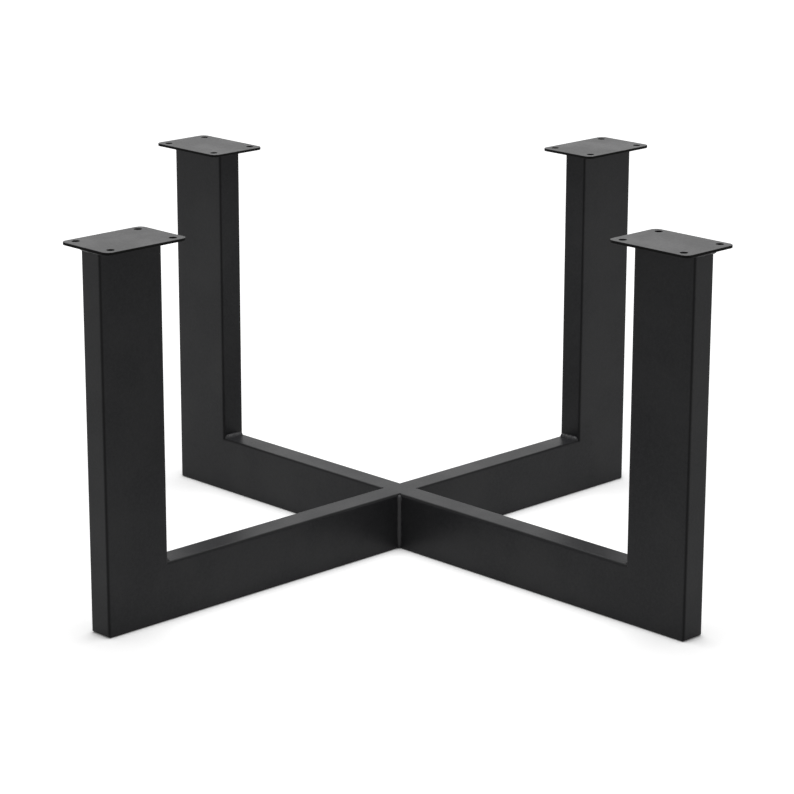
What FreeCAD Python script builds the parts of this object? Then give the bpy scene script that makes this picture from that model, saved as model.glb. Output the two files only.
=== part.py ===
# Crossed steel base for a low table: two tube beams lie on the floor as an X, a tube upright rises
# from each of the four ends, and a drilled fixing plate is welded on top of each upright.
# The crossing lies off the middle, so that two arms are longer than the other two.
#
# Frame, in millimetres: the origin is on the floor below the centre of the crossing, +Z is up, and the
# arms run along +X (front right), +Y (back right), -X (back left) and -Y (front left).
# Every piece of an arm is drawn in the arm's own frame, with the arm along +X, and turned into place.

import FreeCAD, Part
import os
import math
import Sketcher

SIZES = [
    ("FrontArm", 430, "centre of the crossing to the outer face of a front upright"),
    ("BackArm", 362, "centre of the crossing to the outer face of a back upright"),
    ("UprightTop", 407, "floor to the underside of the plates"),
    ("UprightWide", 80, "wide side of an upright's section, along its arm"),
    ("BeamHigh", 64, "height of a beam's section"),
    ("TubeThick", 30, "side of both sections across the arm"),
    ("TubeWall", 2, "wall of both tubes"),
    ("EdgeRadius", 3, "outer radius of the tubes' long edges"),
    ("InsideRadius", 1, "inner radius of the tubes' long edges"),
    ("GroundCorner", 4, "radius ground on the outer bottom corner of an arm"),
    ("PlateLong", 105, "fixing plate along the arm"),
    ("PlateBroad", 75, "fixing plate across the arm"),
    ("PlateThick", 3, "thickness of the fixing plate"),
    ("PlateCorner", 8, "corner radius of the fixing plate"),
    ("PlateInset", 4, "plate's centre, measured inwards from the upright's centre"),
    ("HoleSize", 8, "diameter of the screw holes"),
    ("HoleFromEnd", 12.5, "plate's short edges to the hole centres"),
    ("HoleFromSide", 10, "plate's long edges to the hole centres"),
    ("PlateWeldLeg", 4, "leg of the bead under a plate"),
    ("WeldToe", 0.6, "thickness left at the lower edge of that bead"),
    ("CornerWeldLeg", 5, "leg of the bead where an upright meets its beam"),
    ("CrossWeldLeg", 4, "leg of the upright beads in the crossing's corners"),
]

# Side of the crossing, turn about +Z in degrees, and the size that gives the arm's length.
LEGS = [
    ("front_right", 0, "FrontArm"),
    ("back_right", 90, "BackArm"),
    ("back_left", 180, "BackArm"),
    ("front_left", 270, "FrontArm"),
]
CORNERS = [("right", 0), ("back", 90), ("left", 180), ("front", 270)]

doc = FreeCAD.newDocument("CrossedTableBase")
sheet = doc.addObject("Spreadsheet::Sheet", "Sizes")
for row, (alias, value, note) in enumerate(SIZES, start=1):
    sheet.set(f"A{row}", alias)
    sheet.set(f"B{row}", str(value))
    sheet.setAlias(f"B{row}", alias)
    sheet.set(f"C{row}", note)
doc.recompute()


def sized(text):
    """Put the sheet's name before each alias in a formula."""
    for alias in sorted((entry[0] for entry in SIZES), key=len, reverse=True):
        text = text.replace(alias, f"<<Sizes>>.{alias}")
    return text


def number(text):
    """Value of a formula written with the sheet's aliases."""
    result = sheet.evalExpression(sized(text))
    return float(getattr(result, "Value", result))


def new_body(label, turn):
    """An empty body, turned about the upright axis through the crossing."""
    body = doc.addObject("PartDesign::Body", label)
    body.Label = label
    body.Placement = FreeCAD.Placement(
        FreeCAD.Vector(0, 0, 0), FreeCAD.Rotation(FreeCAD.Vector(0, 0, 1), turn))
    return body


def new_sketch(body, name, plane, offset=""):
    """A sketch on one of the body's origin planes, moved along the plane's normal by a formula."""
    sketch = body.newObject("Sketcher::SketchObject", name)
    support = [item for item in body.Origin.OriginFeatures if item.Role == plane][0]
    sketch.AttachmentSupport = [(support, "")]
    sketch.MapMode = "FlatFace"
    if offset:
        sketch.setExpression("AttachmentOffset.Base.z", sized(offset))
    return sketch


def hold(sketch, kind, edge, end, text):
    """Tie one coordinate of a sketch point to a formula."""
    if abs(number(text)) < 1e-9:
        axis = -1 if kind == "DistanceY" else -2
        sketch.addConstraint(Sketcher.Constraint("PointOnObject", edge, end, axis))
        return
    index = sketch.addConstraint(Sketcher.Constraint(kind, edge, end, number(text)))
    sketch.setExpression(f"Constraints[{index}]", sized(text))


def arc_between(start, stop, radius):
    """Arc of less than half a turn, counter-clockwise from start to stop."""
    chord = stop - start
    rise = math.sqrt(max(radius * radius - chord.Length ** 2 / 4, 0))
    left = FreeCAD.Vector(-chord.y, chord.x, 0) / chord.Length
    middle = (start + stop) / 2 + left * rise
    first = math.atan2(start.y - middle.y, start.x - middle.x)
    last = math.atan2(stop.y - middle.y, stop.x - middle.x)
    circle = Part.Circle(middle, FreeCAD.Vector(0, 0, 1), radius)
    return Part.ArcOfCircle(circle, first, last if last > first else last + 2 * math.pi)


def draw_outline(sketch, corners):
    """Closed outline. Each corner gives x, y and how the edge after it runs: straight for an empty
    text, an arc of that radius otherwise, and clockwise where the text starts with a minus."""
    points = [FreeCAD.Vector(number(x), number(y), 0) for x, y, run in corners]
    edges = []
    for i, (x, y, run) in enumerate(corners):
        here, there = points[i], points[(i + 1) % len(points)]
        if not run:
            edges.append((sketch.addGeometry(Part.LineSegment(here, there), False), 1, 2))
        elif run.startswith("-"):
            edges.append((sketch.addGeometry(arc_between(there, here, number(run[1:])), False), 2, 1))
        else:
            edges.append((sketch.addGeometry(arc_between(here, there, number(run)), False), 1, 2))
    for i, (edge, begin, end) in enumerate(edges):
        after, after_begin, after_end = edges[(i + 1) % len(edges)]
        sketch.addConstraint(Sketcher.Constraint("Coincident", edge, end, after, after_begin))
        x, y, run = corners[i]
        hold(sketch, "DistanceX", edge, begin, x)
        hold(sketch, "DistanceY", edge, begin, y)
        if run:
            radius = run.lstrip("-")
            index = sketch.addConstraint(Sketcher.Constraint("Radius", edge, number(radius)))
            sketch.setExpression(f"Constraints[{index}]", sized(radius))


def draw_rounded(sketch, middle_x, middle_y, wide, high, radius):
    """Rectangle with rounded corners, sides along the sketch's axes."""
    left, right = f"{middle_x} - ({wide}) / 2", f"{middle_x} + ({wide}) / 2"
    low, top = f"{middle_y} - ({high}) / 2", f"{middle_y} + ({high}) / 2"
    draw_outline(sketch, [
        (f"{left} + ({radius})", low, ""),
        (f"{right} - ({radius})", low, radius),
        (right, f"{low} + ({radius})", ""),
        (right, f"{top} - ({radius})", radius),
        (f"{right} - ({radius})", top, ""),
        (f"{left} + ({radius})", top, radius),
        (left, f"{top} - ({radius})", ""),
        (left, f"{low} + ({radius})", radius),
    ])


def draw_circle(sketch, x, y, diameter):
    """Round hole in a sketch."""
    centre = FreeCAD.Vector(number(x), number(y), 0)
    circle = Part.Circle(centre, FreeCAD.Vector(0, 0, 1), number(diameter) / 2)
    edge = sketch.addGeometry(circle, False)
    hold(sketch, "DistanceX", edge, 3, x)
    hold(sketch, "DistanceY", edge, 3, y)
    index = sketch.addConstraint(Sketcher.Constraint("Diameter", edge, number(diameter)))
    sketch.setExpression(f"Constraints[{index}]", sized(diameter))


def pad(body, name, sketch, length, both_ways=False, down=False, taper=""):
    """Raise a sketch into a solid."""
    feature = body.newObject("PartDesign::Pad", name)
    feature.Profile = sketch
    feature.setExpression("Length", sized(length))
    feature.Midplane = both_ways
    feature.Reversed = down
    if taper:
        feature.setExpression("TaperAngle", sized(taper))
    sketch.Visibility = False
    return feature


def cut_through(body, name, sketch):
    """Cut a sketch right through the body, both ways from its plane."""
    feature = body.newObject("PartDesign::Pocket", name)
    feature.Profile = sketch
    feature.Type = "ThroughAll"
    feature.Midplane = True
    sketch.Visibility = False
    return feature


def draw_tube(sketch, middle_x, middle_y, wide, high):
    """Section of a rectangular tube."""
    draw_rounded(sketch, middle_x, middle_y, wide, high, "EdgeRadius")
    draw_rounded(sketch, middle_x, middle_y, f"{wide} - 2 * TubeWall", f"{high} - 2 * TubeWall",
                 "InsideRadius")


def round_outer_corner(body, name, end, side):
    """Grind the radius on the outer bottom corner. side is 1 on the +X end and -1 on the other."""
    sketch = new_sketch(body, name + "_outline", "XZ_Plane")
    if side > 0:
        draw_outline(sketch, [
            (f"{end} - GroundCorner", "0", ""),
            (end, "0", ""),
            (end, "GroundCorner", "-GroundCorner"),
        ])
    else:
        draw_outline(sketch, [
            (end, "GroundCorner", ""),
            (end, "0", ""),
            (f"{end} + GroundCorner", "0", "-GroundCorner"),
        ])
    cut_through(body, name, sketch)


def beam_end(body, name, arm, side):
    """Mitre one end of a beam, from the outer bottom corner up to the upright's inner face."""
    end = arm if side > 0 else f"-{arm}"
    inner = f"{arm} - UprightWide" if side > 0 else f"UprightWide - {arm}"
    sketch = new_sketch(body, name + "_outline", "XZ_Plane")
    draw_outline(sketch, [(end, "0", ""), (end, "BeamHigh", ""), (inner, "BeamHigh", "")])
    cut_through(body, name, sketch)
    round_outer_corner(body, name + "_corner", end, side)


def make_through_beam():
    """The beam that runs whole through the crossing, from the front left to the back right."""
    body = new_body("through_beam", 270)
    sketch = new_sketch(body, "ThroughSection", "YZ_Plane", "-BackArm")
    draw_tube(sketch, "0", "BeamHigh / 2", "TubeThick", "BeamHigh")
    pad(body, "ThroughTube", sketch, "FrontArm + BackArm")
    beam_end(body, "ThroughFrontMitre", "FrontArm", 1)
    beam_end(body, "ThroughBackMitre", "BackArm", -1)
    return body


def make_half_beam(side, turn, arm):
    """A beam that butts against the side of the through beam."""
    body = new_body(f"{side}_half_beam", turn)
    sketch = new_sketch(body, f"{side}_half_section", "YZ_Plane", "TubeThick / 2")
    draw_tube(sketch, "0", "BeamHigh / 2", "TubeThick", "BeamHigh")
    pad(body, f"{side}_half_tube", sketch, f"{arm} - TubeThick / 2")
    beam_end(body, f"{side}_half_mitre", arm, 1)
    return body


def make_upright(side, turn, arm):
    """Upright tube, mitred at its foot to meet the beam."""
    body = new_body(f"{side}_upright", turn)
    sketch = new_sketch(body, f"{side}_upright_section", "XY_Plane")
    draw_tube(sketch, f"{arm} - UprightWide / 2", "0", "UprightWide", "TubeThick")
    pad(body, f"{side}_upright_tube", sketch, "UprightTop")
    foot = new_sketch(body, f"{side}_upright_foot", "XZ_Plane")
    draw_outline(foot, [
        (f"{arm} - UprightWide", "0", ""),
        (arm, "0", ""),
        (f"{arm} - UprightWide", "BeamHigh", ""),
    ])
    cut_through(body, f"{side}_upright_mitre", foot)
    round_outer_corner(body, f"{side}_upright_corner", arm, 1)
    return body


def make_plate(side, turn, arm):
    """Fixing plate with four screw holes, lying on the end of the upright."""
    body = new_body(f"{side}_plate", turn)
    middle = f"{arm} - UprightWide / 2 - PlateInset"
    sketch = new_sketch(body, f"{side}_plate_outline", "XY_Plane", "UprightTop")
    draw_rounded(sketch, middle, "0", "PlateLong", "PlateBroad", "PlateCorner")
    for along in ("-", "+"):
        for across in ("-", "+"):
            hole_x = f"{middle} {along} (PlateLong / 2 - HoleFromEnd)"
            hole_y = f"{across}(PlateBroad / 2 - HoleFromSide)"
            draw_circle(sketch, hole_x, hole_y, "HoleSize")
    pad(body, f"{side}_plate_sheet", sketch, "PlateThick")
    return body


def make_plate_weld(side, turn, arm):
    """Fillet bead all round the upright, under the plate."""
    body = new_body(f"{side}_plate_weld", turn)
    middle = f"{arm} - UprightWide / 2"
    sketch = new_sketch(body, f"{side}_plate_bead_outline", "XY_Plane", "UprightTop")
    draw_rounded(sketch, middle, "0", "UprightWide + 2 * PlateWeldLeg", "TubeThick + 2 * PlateWeldLeg",
                 "EdgeRadius + PlateWeldLeg")
    pad(body, f"{side}_plate_bead", sketch, "PlateWeldLeg", down=True,
        taper="-atan((PlateWeldLeg - WeldToe) / PlateWeldLeg)")
    tube = new_sketch(body, f"{side}_plate_bead_tube", "XY_Plane", "UprightTop")
    draw_rounded(tube, middle, "0", "UprightWide", "TubeThick", "EdgeRadius")
    cut_through(body, f"{side}_plate_bead_bore", tube)
    return body


def make_corner_weld(side, turn, arm):
    """Bead across the inner corner, between the upright's inner face and the beam's top."""
    body = new_body(f"{side}_corner_weld", turn)
    corner = f"{arm} - UprightWide"
    sketch = new_sketch(body, f"{side}_corner_bead_section", "XZ_Plane")
    draw_outline(sketch, [
        (corner, "BeamHigh", ""),
        (corner, "BeamHigh + CornerWeldLeg", ""),
        (f"{corner} - CornerWeldLeg", "BeamHigh", ""),
    ])
    pad(body, f"{side}_corner_bead", sketch, "TubeThick - 2 * EdgeRadius", both_ways=True)
    return body


def make_crossing_weld(name, turn):
    """Upright bead in one of the crossing's four corners."""
    body = new_body(f"crossing_weld_{name}", turn)
    sketch = new_sketch(body, f"crossing_{name}_section", "XY_Plane", "EdgeRadius")
    draw_outline(sketch, [
        ("TubeThick / 2", "TubeThick / 2", ""),
        ("TubeThick / 2 + CrossWeldLeg", "TubeThick / 2", ""),
        ("TubeThick / 2", "TubeThick / 2 + CrossWeldLeg", ""),
    ])
    pad(body, f"crossing_{name}_bead", sketch, "BeamHigh - 2 * EdgeRadius")
    return body


def make_top_weld(name, turn):
    """Weld ground flush in the groove that the through beam's round edge leaves at a butted end."""
    body = new_body(f"crossing_top_weld_{name}", turn)
    sketch = new_sketch(body, f"top_weld_{name}_section", "XZ_Plane")
    draw_outline(sketch, [
        ("TubeThick / 2", "BeamHigh - EdgeRadius", ""),
        ("TubeThick / 2", "BeamHigh", ""),
        ("TubeThick / 2 - EdgeRadius", "BeamHigh", "-EdgeRadius"),
    ])
    pad(body, f"top_weld_{name}_fill", sketch, "TubeThick - 2 * EdgeRadius", both_ways=True)
    return body


def check_model(bodies):
    """Stop unless every object is sound and every cut took something away."""
    for item in doc.Objects:
        if "Invalid" in item.State or "Error" in item.State:
            raise RuntimeError(f"{item.Name} did not compute: {item.State}")
    for body in bodies:
        shape = body.Shape
        if shape.isNull() or not shape.isValid() or len(shape.Solids) != 1:
            raise RuntimeError(f"{body.Label} is not one sound solid")
        for feature in body.Group:
            if feature.TypeId == "PartDesign::Pocket":
                if feature.Shape.Volume >= feature.BaseFeature.Shape.Volume:
                    raise RuntimeError(f"{feature.Name} cut nothing away")


bodies = [make_through_beam()]
for side, turn, arm in LEGS:
    if side in ("front_right", "back_left"):
        bodies.append(make_half_beam(side, turn, arm))
    bodies.append(make_upright(side, turn, arm))
    bodies.append(make_plate(side, turn, arm))
    bodies.append(make_plate_weld(side, turn, arm))
    bodies.append(make_corner_weld(side, turn, arm))
for name, turn in CORNERS:
    bodies.append(make_crossing_weld(name, turn))
bodies.append(make_top_weld("right", 0))
bodies.append(make_top_weld("left", 180))

doc.recompute()
check_model(bodies)

os.makedirs("parts", exist_ok=True)
for body in bodies:
    body.Shape.exportStep(f"parts/{body.Label}.step")
    print(body.Label, round(body.Shape.Volume, 1))
print(len(bodies), "pieces")
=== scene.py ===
import math

import bmesh
import bpy
import numpy as np
from mathutils import Matrix, Vector


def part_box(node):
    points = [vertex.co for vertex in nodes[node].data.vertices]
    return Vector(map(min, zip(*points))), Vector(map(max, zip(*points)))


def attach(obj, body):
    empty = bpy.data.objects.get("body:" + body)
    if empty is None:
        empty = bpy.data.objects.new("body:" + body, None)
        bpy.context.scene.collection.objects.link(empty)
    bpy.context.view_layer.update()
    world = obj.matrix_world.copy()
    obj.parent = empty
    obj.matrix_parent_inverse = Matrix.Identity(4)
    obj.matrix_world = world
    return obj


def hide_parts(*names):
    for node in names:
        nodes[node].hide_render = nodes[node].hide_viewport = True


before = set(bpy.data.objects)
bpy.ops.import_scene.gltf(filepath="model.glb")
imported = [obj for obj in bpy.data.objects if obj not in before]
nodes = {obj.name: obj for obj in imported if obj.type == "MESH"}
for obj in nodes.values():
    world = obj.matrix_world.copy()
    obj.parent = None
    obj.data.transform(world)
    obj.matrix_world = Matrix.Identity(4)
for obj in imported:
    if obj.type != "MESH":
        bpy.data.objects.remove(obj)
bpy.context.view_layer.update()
mm = 0.001

# how many degrees each arm is turned from +X, and each corner of the crossing from the one between +X and +Y
arms = {"front_right": 0, "back_right": 90, "back_left": 180, "front_left": 270}
crossingCorners = {"right": 0, "back": 90, "left": 180, "front": 270}
print("loaded", len(nodes), "solids")


def addObject(name, data):
    thing = bpy.data.objects.new(name, data)
    bpy.context.scene.collection.objects.link(thing)
    return thing


cameraView = {
    "place": (2.2231, -2.1783, 1.0543),  # metres
    "yaw": 45.642,  # degrees, to the left of +Y
    "pitch": -15.859,
    "roll": 0.121,
    "lens": 132.05,  # mm
    "sensor": 36,  # mm across
    "farthest": 200,  # metres, beyond the floor's corners
}


def addCamera(view):
    # a level camera turned by yaw, tipped by pitch, then rolled about its own line of sight
    data = bpy.data.cameras.new("photoView")
    data.sensor_width = view["sensor"]
    data.lens = view["lens"]
    data.clip_end = view["farthest"]
    camera = addObject("photoView", data)
    turn = Matrix.Rotation(math.radians(view["yaw"]), 4, "Z")
    tip = Matrix.Rotation(math.radians(90 + view["pitch"]), 4, "X")
    roll = Matrix.Rotation(math.radians(view["roll"]), 4, "Z")
    camera.matrix_world = Matrix.Translation(view["place"]) @ turn @ tip @ roll
    bpy.context.scene.camera = camera


addCamera(cameraView)
print("camera set")


def feed(tree, node, terms):
    # each term goes to the socket of its name or number: a plain value is set, another node's output linked
    for label, term in terms.items():
        if isinstance(term, bpy.types.NodeSocket):
            tree.links.new(term, node.inputs[label])
        else:
            node.inputs[label].default_value = term


def addNode(tree, kind, terms, **settings):
    node = tree.nodes.new(kind)
    for label, value in settings.items():
        setattr(node, label, value)
    feed(tree, node, terms)
    return node.outputs


def addMath(tree, operation, *terms):
    return addNode(tree, "ShaderNodeMath", dict(enumerate(terms)), operation=operation)[0]


def newMaterial(name):
    material = bpy.data.materials.new(name)
    material.use_nodes = True
    return material, material.node_tree, material.node_tree.nodes["Principled BSDF"]


studio = {
    "floorHalf": 60,  # metres from the middle to the floor's edge
    "floorColour": (0.9, 0.9, 0.9, 1),
    "floorWhite": 1.2,  # brightness that the fill aims at; above 1, so that faint shade stays white
    "fillMost": 1.0,  # a strength of 1 is white
    "litMiddle": 0.72,  # brightness that the lamp gives the floor under the middle
    "contactReach": 0.008,  # metres within which the object darkens the fill
    "contactRays": 8,
    "white": (1, 1, 1, 1),
    "softLight": 0.14,  # light from the surrounding room
    "topPower": 34,  # watts
    "topSize": 1.6,  # metres across
    "topPlace": (-0.05, 0.05, 1.9),
    "topAim": (0, 0, 0.2),
}


def seenDirectly(tree):
    # 1 for rays from the camera, a reflection or a clear material, and 0 for light that falls on things
    rays = addNode(tree, "ShaderNodeLightPath", {})
    mirrored = addMath(tree, "MAXIMUM", rays["Is Glossy Ray"], rays["Is Transmission Ray"])
    return addMath(tree, "MAXIMUM", rays["Is Camera Ray"], mirrored)


def addFloor(stage):
    half = stage["floorHalf"]
    mesh = bpy.data.meshes.new("studioFloor")
    corners = [(-half, -half, 0), (half, -half, 0), (half, half, 0), (-half, half, 0)]
    mesh.from_pydata(corners, [], [(0, 1, 2, 3)])
    floor = addObject("studioFloor", mesh)
    paper, tree, shader = newMaterial("studioPaper")
    # The lamp's light thins out as (height squared over height squared plus distance squared) squared.
    # The fill makes up what is missing to an even white, so that the object's shadow stays.
    place = addNode(tree, "ShaderNodeTexCoord", {})["Object"]
    apart = addNode(tree, "ShaderNodeVectorMath", {0: place}, operation="LENGTH")["Value"]
    highSquared = stage["topPlace"][2] ** 2
    farSquared = addMath(tree, "POWER", apart, 2.0)
    share = addMath(tree, "DIVIDE", highSquared, addMath(tree, "ADD", farSquared, highSquared))
    lit = addMath(tree, "MULTIPLY", addMath(tree, "POWER", share, 2.0), stage["litMiddle"])
    roomShare = stage["floorColour"][0] * stage["softLight"]
    short = addMath(tree, "SUBTRACT", stage["floorWhite"] - roomShare, lit)
    missing = addMath(tree, "MINIMUM", short, stage["fillMost"])
    # the fill fades where the object stands close, so that no light shows in the gap under its round edges
    contact = addNode(tree, "ShaderNodeAmbientOcclusion", {"Distance": stage["contactReach"]},
                      samples=stage["contactRays"])
    shown = addMath(tree, "MULTIPLY", missing, contact["AO"])
    fill = addMath(tree, "MULTIPLY", shown, seenDirectly(tree))
    feed(tree, shader, {"Base Color": stage["floorColour"], "Roughness": 1, "Specular IOR Level": 0,
                        "Emission Color": stage["white"], "Emission Strength": fill})
    mesh.materials.append(paper)


def addWorld(stage):
    # the room's soft light falls on things, and behind them the camera and reflections see plain white
    world = bpy.data.worlds.new("studioRoom")
    world.use_nodes = True
    tree = world.node_tree
    room = tree.nodes["Background"]
    feed(tree, room, {"Color": stage["white"], "Strength": stage["softLight"]})
    backdrop = addNode(tree, "ShaderNodeBackground", {"Color": stage["white"], "Strength": 1})[0]
    mixed = addNode(tree, "ShaderNodeMixShader", {0: seenDirectly(tree), 1: room.outputs[0], 2: backdrop})[0]
    feed(tree, tree.nodes["World Output"], {"Surface": mixed})
    bpy.context.scene.world = world


def addLamp(name, place, aim, power, size):
    # a round panel turned so that its face looks at the aim
    data = bpy.data.lights.new(name, "AREA")
    data.shape = "DISK"
    data.size = size
    data.energy = power
    lamp = addObject(name, data)
    lamp.location = place
    lamp.rotation_euler = (Vector(aim) - Vector(place)).to_track_quat("-Z", "Y").to_euler()


addFloor(studio)
addWorld(studio)
addLamp("topPanel", studio["topPlace"], studio["topAim"], studio["topPower"], studio["topSize"])
bpy.context.scene.view_settings.view_transform = "Standard"
print("studio set")


def newGroup(name, inputs, outputs):
    # inputs and outputs give each socket's name and kind
    group = bpy.data.node_groups.new(name, "ShaderNodeTree")
    for way, sockets in (("INPUT", inputs), ("OUTPUT", outputs)):
        for label, kind in sockets.items():
            group.interface.new_socket(name=label, in_out=way, socket_type="NodeSocket" + kind)
    return group, group.nodes.new("NodeGroupInput").outputs, group.nodes.new("NodeGroupOutput")


def addNoise(tree, place, scale, detail):
    return addNode(tree, "ShaderNodeTexNoise", {"Vector": place, "Scale": scale, "Detail": detail})["Fac"]


def addSmoothStep(tree, value, begin, whole):
    # 0 where the value is at begin, 1 where it is at whole, and a soft rise between them
    terms = {"Value": value, "From Min": begin, "From Max": whole}
    return addNode(tree, "ShaderNodeMapRange", terms, interpolation_type="SMOOTHSTEP")["Result"]


def addMix(tree, factor, first, second):
    terms = {"Factor": factor, "A": first, "B": second}
    return addNode(tree, "ShaderNodeMix", terms, data_type="RGBA")["Result"]


grainShape = {
    "grainDetail": 2,
    "peelDetail": 1,
    "peelScale": 0.28,  # the peel's waves to one wave of the grain
    "grainHigh": 0.6,  # shares of the height
    "peelHigh": 0.4,
    "peelMiddle": 0.5,
    "tipsAbove": 0.35,  # height where the grains' tips begin to show, and how fast they do
    "tipsGain": 2.5,
}


def makePowderGrain(shape):
    # baked powder: fine grains on a wider, shallow peel, which shift the tone, the gloss and the height
    group, start, end = newGroup(
        "powderGrain",
        {"Place": "Vector", "Colour": "Color", "Grain Colour": "Color", "Grain Size": "Float",
         "Grain Amount": "Float", "Roughness": "Float", "Roughness Spread": "Float"},
        {"Colour": "Color", "Roughness": "Float", "Height": "Float"})
    fineScale = addMath(group, "DIVIDE", 1, start["Grain Size"])
    peelScale = addMath(group, "MULTIPLY", fineScale, shape["peelScale"])
    fine = addNoise(group, start["Place"], fineScale, shape["grainDetail"])
    peel = addNoise(group, start["Place"], peelScale, shape["peelDetail"])
    peelPart = addMath(group, "MULTIPLY", peel, shape["peelHigh"])
    height = addMath(group, "MULTIPLY_ADD", fine, shape["grainHigh"], peelPart)
    above = addMath(group, "SUBTRACT", height, shape["tipsAbove"])
    tips = addMath(group, "MULTIPLY", above, shape["tipsGain"])
    amount = addMath(group, "MULTIPLY", tips, start["Grain Amount"])
    shift = addMath(group, "SUBTRACT", peel, shape["peelMiddle"])
    uneven = addMath(group, "MULTIPLY", shift, start["Roughness Spread"])
    feed(group, end, {"Colour": addMix(group, amount, start["Colour"], start["Grain Colour"]),
                      "Roughness": addMath(group, "ADD", start["Roughness"], uneven), "Height": height})
    return group


patchShape = {
    "detail": 4,
    "from": 0.38,  # noise where a patch begins, and where it is whole
    "full": 0.66,
}


def makeRubbedPatches(shape):
    # wide soft patches where handling has smoothed the coat or dust has dulled it
    group, start, end = newGroup(
        "rubbedPatches",
        {"Place": "Vector", "Colour": "Color", "Patch Colour": "Color", "Patch Size": "Float",
         "Patch Amount": "Float", "Roughness": "Float", "Roughness Drop": "Float"},
        {"Colour": "Color", "Roughness": "Float"})
    scale = addMath(group, "DIVIDE", 1, start["Patch Size"])
    cloud = addNoise(group, start["Place"], scale, shape["detail"])
    spread = addSmoothStep(group, cloud, shape["from"], shape["full"])
    amount = addMath(group, "MULTIPLY", spread, start["Patch Amount"])
    drop = addMath(group, "MULTIPLY", spread, start["Roughness Drop"])
    feed(group, end, {"Colour": addMix(group, amount, start["Colour"], start["Patch Colour"]),
                      "Roughness": addMath(group, "SUBTRACT", start["Roughness"], drop)})
    return group


# where the painted shade on rounded edges begins, and where it is whole
edgeShadeShape = {
    "flat": 0.975,  # largest part of the normal where an edge begins, and where it is whole
    "round": 0.8,
}


def makeEdgePaintedShade(shape):
    # Painted shade: the colour turns near black over rounded edges, standing in for the shade and the dark
    # reflections there.
    # The largest part of the normal along the three axes is 1 on a flat face and falls on a round one. Sides
    # are the faces that point away from up and down, and they can be darkened too as painted shade.
    group, start, end = newGroup(
        "edgePaintedShade",
        {"Normal": "Vector", "Colour": "Color", "Edge Shade Colour": "Color", "Edge Shade Amount": "Float",
         "Side Shade Amount": "Float", "Roughness": "Float", "Edge Roughness": "Float"},
        {"Colour": "Color", "Roughness": "Float"})
    parts = addNode(group, "ShaderNodeSeparateXYZ", {0: start["Normal"]})
    alongX, alongY, alongZ = [addMath(group, "ABSOLUTE", parts[axis]) for axis in "XYZ"]
    largest = addMath(group, "MAXIMUM", addMath(group, "MAXIMUM", alongX, alongY), alongZ)
    # painted shade: rounded edges, and sides as far as asked, turn towards the dark edge colour
    edge = addSmoothStep(group, largest, shape["flat"], shape["round"])
    rounded = addMath(group, "MULTIPLY", edge, start["Edge Shade Amount"])
    sides = addMath(group, "MULTIPLY", addMath(group, "SUBTRACT", 1, alongZ), start["Side Shade Amount"])
    amount = addMath(group, "MAXIMUM", rounded, sides)
    extra = addMath(group, "MULTIPLY", amount, start["Edge Roughness"])
    feed(group, end, {"Colour": addMix(group, amount, start["Colour"], start["Edge Shade Colour"]),
                      "Roughness": addMath(group, "ADD", start["Roughness"], extra)})
    return group


powderGrain = makePowderGrain(grainShape)
rubbedPatches = makeRubbedPatches(patchShape)
edgePaintedShade = makeEdgePaintedShade(edgeShadeShape)

# sizes and grain heights are in metres
tubeCoat = {
    "effects": (rubbedPatches, powderGrain, edgePaintedShade),
    "Colour": (0.0152, 0.0154, 0.0168, 1),
    "Grain Colour": (0.034, 0.0342, 0.0362, 1),
    "Grain Size": 0.0009,
    "Grain Amount": 0.5,
    "Roughness": 0.38,
    "Roughness Spread": 0.12,
    "Patch Colour": (0.028, 0.028, 0.029, 1),
    "Patch Size": 0.07,
    "Patch Amount": 0.5,
    "Roughness Drop": 0.05,
    # painted shade: near black where the tube's edges turn round
    "Edge Shade Colour": (0.0025, 0.0025, 0.0025, 1),
    "Edge Shade Amount": 0.75,
    "Side Shade Amount": 0,
    "Edge Roughness": 0.3,
    "grainHeight": 0.0001,
    "gloss": 0.125,
}
plateCoat = {
    "effects": (rubbedPatches, powderGrain, edgePaintedShade),
    # the colours are set lighter than the tubes': painted sheen for the plates' up-facing tops, which wear
    # the same black coat
    "Colour": (0.023, 0.023, 0.0236, 1),
    "Grain Colour": (0.044, 0.044, 0.045, 1),
    "Grain Size": 0.0008,
    "Grain Amount": 0.5,
    "Roughness": 0.38,
    "Roughness Spread": 0.12,
    "Patch Colour": (0.032, 0.032, 0.033, 1),
    "Patch Size": 0.045,
    "Patch Amount": 0.5,
    "Roughness Drop": 0.05,
    # painted shade: near black on the rounded edges and over the whole rim of the sheet
    "Edge Shade Colour": (0.002, 0.002, 0.002, 1),
    "Edge Shade Amount": 0.6,
    "Side Shade Amount": 1,
    "Edge Roughness": 0.6,
    "grainHeight": 0.00008,
    "gloss": 0.175,
}
weldCoat = {
    "effects": (rubbedPatches, powderGrain),
    "Colour": (0.019, 0.019, 0.0205, 1),
    "Grain Colour": (0.037, 0.037, 0.0395, 1),
    "Grain Size": 0.0007,
    "Grain Amount": 0.6,
    "Roughness": 0.36,
    "Roughness Spread": 0.14,
    "Patch Colour": (0.026, 0.026, 0.028, 1),
    "Patch Size": 0.012,
    "Patch Amount": 0.6,
    "Roughness Drop": 0.06,
    "grainHeight": 0.00006,
    "gloss": 0.24,
}


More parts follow.
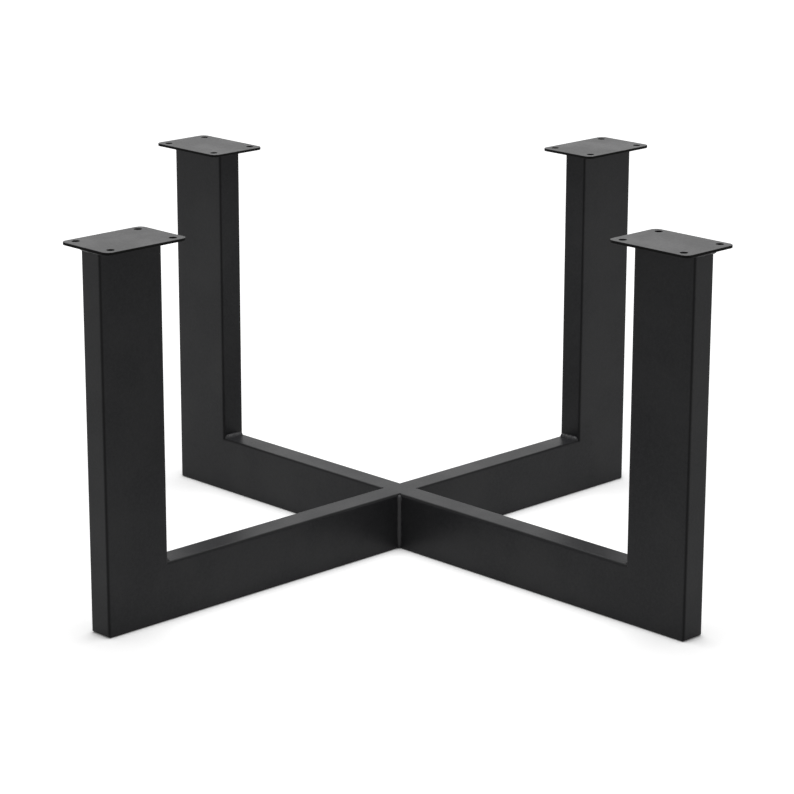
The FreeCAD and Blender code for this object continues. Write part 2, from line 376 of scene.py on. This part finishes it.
def makeCoat(name, finish):
    # each effect takes its own values from the finish, and colour and roughness from the effect before it
    material, tree, shader = newMaterial(name)
    surface = addNode(tree, "ShaderNodeTexCoord", {})
    terms = dict(finish, Place=surface["Object"], Normal=surface["Normal"])
    for effect in finish["effects"]:
        wanted = [item.name for item in effect.interface.items_tree if item.in_out == "INPUT"]
        taken = {label: terms[label] for label in wanted}
        given = addNode(tree, "ShaderNodeGroup", taken, node_tree=effect)
        terms.update({socket.name: socket for socket in given})
    bump = addNode(tree, "ShaderNodeBump", {"Distance": finish["grainHeight"], "Height": terms["Height"]})
    feed(tree, shader, {"Base Color": terms["Colour"], "Roughness": terms["Roughness"],
                        "Specular IOR Level": finish["gloss"], "Normal": bump["Normal"]})
    return material


tubePaint = makeCoat("tubePowderCoat", tubeCoat)
platePaint = makeCoat("platePowderCoat", plateCoat)
weldPaint = makeCoat("weldPowderCoat", weldCoat)
print("coats mixed")


def dressNode(name, material):
    node = nodes[name]
    node.data.materials.clear()
    node.data.materials.append(material)


tubeNodes = ["through_beam", "front_right_half_beam", "back_left_half_beam"]
tubeNodes += [side + "_upright" for side in arms]
tubeNodes += ["crossing_top_weld_right", "crossing_top_weld_left"]
for name in tubeNodes:
    dressNode(name, tubePaint)
print("tubes coated")


def addPiece(name, mesh, material, stoodFor):
    # a new surface that rides on the only body and stands for one solid
    mesh.materials.append(material)
    piece = addObject(name, mesh)
    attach(piece, "root")
    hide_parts(stoodFor)
    return piece


fixingPlate = {
    "edgeBreak": 0.45 * mm,
    "edgeSteps": 3,
    "edgeAngle": 40,  # degrees between faces, above which an edge is broken
    "flatAngle": 1,  # degrees between faces, below which they are one
    "joinWithin": 0.001 * mm,
}


def makePlate(side, plate):
    # the drilled sheet, joined into one skin, with its sheared edges and hole rims broken by a small radius
    node = side + "_plate"
    mesh = bpy.data.meshes.new(node + "_edged")
    skin = bmesh.new()
    skin.from_mesh(nodes[node].data)
    bmesh.ops.remove_doubles(skin, verts=skin.verts, dist=plate["joinWithin"])
    # flat faces become whole polygons, so that the broken edges don't cut into thin triangles
    flat = math.radians(plate["flatAngle"])
    bmesh.ops.dissolve_limit(skin, angle_limit=flat, verts=skin.verts, edges=skin.edges)
    for face in skin.faces:
        face.smooth = True
    skin.to_mesh(mesh)
    skin.free()
    if "custom_normal" in mesh.attributes:
        mesh.attributes.remove(mesh.attributes["custom_normal"])
    piece = addPiece(node + "_edged", mesh, platePaint, node)
    rim = piece.modifiers.new("edgeBreak", "BEVEL")
    rim.width = plate["edgeBreak"]
    rim.segments = plate["edgeSteps"]
    rim.limit_method = "ANGLE"
    rim.angle_limit = math.radians(plate["edgeAngle"])
    rim.harden_normals = True
    # the same width everywhere, whichever way the flat faces were cut up between the holes
    rim.use_clamp_overlap = False
    rim.loop_slide = False


for side in arms:
    makePlate(side, fixingPlate)
print("plates edged")


def turned(points, degrees):
    # the same points turned about +Z through the crossing
    angle = math.radians(degrees)
    cosine, sine = math.cos(angle), math.sin(angle)
    return points @ np.array([[cosine, sine, 0], [-sine, cosine, 0], [0, 0, 1]])


def armBox(node, degrees):
    # lowest and highest corner of a solid in its own arm's frame, where the arm runs along +X
    low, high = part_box(node)
    corners = turned(np.array([tuple(low), tuple(high)]), -degrees)
    return corners.min(axis=0), corners.max(axis=0)


def meshFromGrid(name, grid, closedAlong):
    # rows run along the bead and columns round its section; neighbouring points make one face
    rows, columns = grid.shape[:2]
    number = np.arange(rows * columns).reshape(rows, columns)
    ahead = np.roll(number, -1, axis=0)
    cells = np.stack([number, ahead, np.roll(ahead, -1, axis=1), np.roll(number, -1, axis=1)], axis=2)
    faces = (cells if closedAlong else cells[:-1]).reshape(-1, 4).tolist()
    if not closedAlong:
        faces += [number[0].tolist(), number[-1][::-1].tolist()]
    mesh = bpy.data.meshes.new(name)
    mesh.from_pydata(grid.reshape(-1, 3).tolist(), [], faces)
    skin = bmesh.new()
    skin.from_mesh(mesh)
    bmesh.ops.recalc_face_normals(skin, faces=skin.faces)
    skin.to_mesh(mesh)
    skin.free()
    mesh.shade_smooth()
    return mesh


# what all the beads share, as one welder's hand lays them; turns are half turns to one waveRun
weldHand = {
    "bow": 0.5,  # how far a ripple's middle runs ahead of its ends, in ripples
    "crestPower": 0.7,  # below 1, for round crests with narrow valleys
    "crestMiddle": 0.6,  # part of a crest's height that lies below the plain skin
    "wander": 0.35,  # how far the ripples crowd and spread, in ripples
    "wanderTurns": 3.1,
    "slowShare": 0.6,  # shares of the two waves that widen the leg
    "fastShare": 0.4,
    "slowTurns": 2,
    "fastTurns": 4.7,
    "sink": 0.3 * mm,  # how deep the hidden sides go into the walls
    "endThin": 0.04,  # share of the leg that is left at both ends
    "lumpPlace": 0.86,  # where the welder stops, from -1 at the start to 1 at the end
    "lumpWidth": 0.09,
}


def beadSurface(corner, firstSide, secondSide, run, leg, bead, hand, seed):
    # A bead in the corner of two walls. Across it the angle goes from 0 to 90 degrees, and the skin is the
    # corner plus the leg times (first side times cosine to a power, plus second side times sine to it).
    # Crescent ripples, a sine of the run bowed by the angle, lift the skin, and slow waves widen the leg.
    chance = np.random.default_rng(seed)
    slowShift, fastShift, wanderShift = chance.uniform(0, 2 * math.pi, 3)
    base, a, b = corner[:, None, :], firstSide[:, None, :], secondSide[:, None, :]
    waves = run / bead["waveRun"]
    slow = hand["slowShare"] * np.sin(waves * hand["slowTurns"] * math.pi + slowShift)
    fast = hand["fastShare"] * np.sin(waves * hand["fastTurns"] * math.pi + fastShift)
    width = (leg * (1 + bead["wave"] * (slow + fast)))[:, None, None]
    angle = np.linspace(0, math.pi / 2, bead["across"])
    cosine, sine = np.cos(angle)[None, :, None], np.sin(angle)[None, :, None]
    fullness = bead["fullness"]
    skin = base + width * (a * cosine ** fullness + b * sine ** fullness)
    wander = hand["wander"] * np.sin(waves * hand["wanderTurns"] * math.pi + wanderShift)
    phase = (run / bead["ripple"] + wander)[:, None] + hand["bow"] * np.sin(2 * angle)[None, :]
    crest = np.abs(np.sin(math.pi * phase)) ** hand["crestPower"] - hand["crestMiddle"]
    fade = np.sin(2 * angle)[None, :] * np.minimum(width[:, :, 0] / np.max(leg), 1)
    lift = bead["rippleHigh"] * crest * fade
    skin = skin + lift[:, :, None] * (a * cosine + b * sine)
    sink = hand["sink"]
    firstToe = base + width * a - sink * b
    secondToe = base + width * b - sink * a
    root = base - sink * (a + b)
    return np.concatenate([firstToe, skin, secondToe, root], axis=1)


def straightBead(start, direction, length, firstSide, secondSide, bead, hand, seed):
    # A bead along a straight corner, where place goes from -1 to 1. The leg is the bead's, times the square
    # root of 1 minus place to a high power, which rounds off both ends, and a bell curve adds the last lump.
    run = np.linspace(0, length, bead["along"])
    place = 2 * run / length - 1
    leg = bead["leg"] * np.maximum(np.sqrt(1 - np.abs(place) ** bead["endShape"]), hand["endThin"])
    lump = np.exp(-((place - hand["lumpPlace"]) / hand["lumpWidth"]) ** 2)
    leg = leg * (1 + bead["endLump"] * lump)
    corner = np.array(start) + run[:, None] * np.array(direction)
    return beadSurface(corner, np.array([firstSide]), np.array([secondSide]), run, leg, bead, hand, seed)


def layBead(node, grid, degrees, closedAlong):
    # the grid of an arm's or a corner's bead, turned to its place, stands for the solid of that name
    name = node + "_bead"
    mesh = meshFromGrid(name, turned(grid, degrees), closedAlong)
    addPiece(name, mesh, weldPaint, node)


plateBead = {
    "leg": 3.9 * mm,
    "along": 900,  # points along the bead and across it
    "across": 12,
    "fullness": 1.35,  # power that bends the section: 1 is round, 2 a straight bevel, more is hollow
    "ripple": 2.4 * mm,  # from crest to crest
    "rippleHigh": 0.32 * mm,
    "wave": 0.1,  # share of the leg by which the waves widen it
    "waveRun": 19 * mm,
    "edgeRadius": 3 * mm,  # of the upright's outer corners
    "firstSeed": 10,
}


def roundedPath(low, high, radius, count):
    # Walk round a rectangle with rounded corners by its length: straight runs, and arcs where the outward
    # direction turns evenly. Gives the points, the outward directions and the run so far.
    halfWide, halfDeep = (high[:2] - low[:2]) / 2
    middle = (high[:2] + low[:2]) / 2
    flatWide, flatDeep = halfWide - radius, halfDeep - radius
    arc = math.pi * radius / 2
    pieces = np.array([2 * flatDeep, arc, 2 * flatWide, arc, 2 * flatDeep, arc, 2 * flatWide, arc])
    knots = np.concatenate([[0], np.cumsum(pieces)])
    run = np.linspace(0, knots[-1], count, endpoint=False)
    quarter = math.pi / 2
    heading = np.interp(run, knots, quarter * np.array([0, 0, 1, 1, 2, 2, 3, 3, 4]))
    centreX = np.interp(run, knots, flatWide * np.array([1, 1, 1, -1, -1, -1, -1, 1, 1]))
    centreY = np.interp(run, knots, flatDeep * np.array([-1, 1, 1, 1, 1, -1, -1, -1, -1]))
    outward = np.stack([np.cos(heading), np.sin(heading), np.zeros(count)], axis=1)
    centre = np.stack([centreX + middle[0], centreY + middle[1], np.zeros(count)], axis=1)
    return centre + radius * outward, outward, run


def makePlateBead(side, degrees, bead, seed):
    # round the top of an upright, under its plate, with a whole number of slow waves
    low, high = armBox(side + "_upright", degrees)
    path, outward, run = roundedPath(low, high, bead["edgeRadius"], bead["along"])
    path[:, 2] = high[2]
    down = np.array([(0, 0, -1)])
    leg = np.full(bead["along"], bead["leg"])
    waveCount = round(run[-1] / bead["waveRun"])
    fitted = dict(bead, waveRun=run[-1] / waveCount)
    grid = beadSurface(path, outward, down, run, leg, fitted, weldHand, seed)
    layBead(side + "_plate_weld", grid, degrees, True)


cornerBead = {
    "leg": 4.2 * mm,
    "along": 150,
    "across": 14,
    "fullness": 1.35,
    "ripple": 2.6 * mm,
    "rippleHigh": 0.35 * mm,
    "wave": 0.07,
    "waveRun": 16 * mm,
    "endShape": 8,  # power that rounds the ends: the higher it is, the blunter they are
    "endLump": 0.22,  # how much wider the bead is where the welder stops
    "length": 26 * mm,
    "firstSeed": 20,
}


def makeCornerBead(side, degrees, bead, seed):
    # across the inner corner between an upright and its beam
    innerFace = armBox(side + "_upright", degrees)[0][0]
    beamTop = armBox("through_beam", 0)[1][2]
    start = (innerFace, -bead["length"] / 2, beamTop)
    grid = straightBead(start, (0, 1, 0), bead["length"], (-1, 0, 0), (0, 0, 1), bead, weldHand, seed)
    layBead(side + "_corner_weld", grid, degrees, False)


crossingBead = {
    "leg": 3.3 * mm,
    "along": 300,
    "across": 12,
    "fullness": 1.3,
    "ripple": 2.3 * mm,
    "rippleHigh": 0.32 * mm,
    "wave": 0.09,
    "waveRun": 21 * mm,
    "endShape": 14,
    "endLump": 0.2,
    "endGap": 1.2 * mm,  # clear of the floor and of the beams' tops
    "firstSeed": 30,
}


def makeCrossingBead(corner, degrees, bead, seed):
    # up the upright corner where two beams meet
    low, high = armBox("through_beam", 0)
    half = (high[0] - low[0]) / 2
    length = high[2] - 2 * bead["endGap"]
    start = (half, half, bead["endGap"])
    grid = straightBead(start, (0, 0, 1), length, (1, 0, 0), (0, 1, 0), bead, weldHand, seed)
    layBead("crossing_weld_" + corner, grid, degrees, False)


for number, (side, degrees) in enumerate(arms.items()):
    makePlateBead(side, degrees, plateBead, plateBead["firstSeed"] + number)
    makeCornerBead(side, degrees, cornerBead, cornerBead["firstSeed"] + number)
for number, (corner, degrees) in enumerate(crossingCorners.items()):
    makeCrossingBead(corner, degrees, crossingBead, crossingBead["firstSeed"] + number)
print("beads laid")
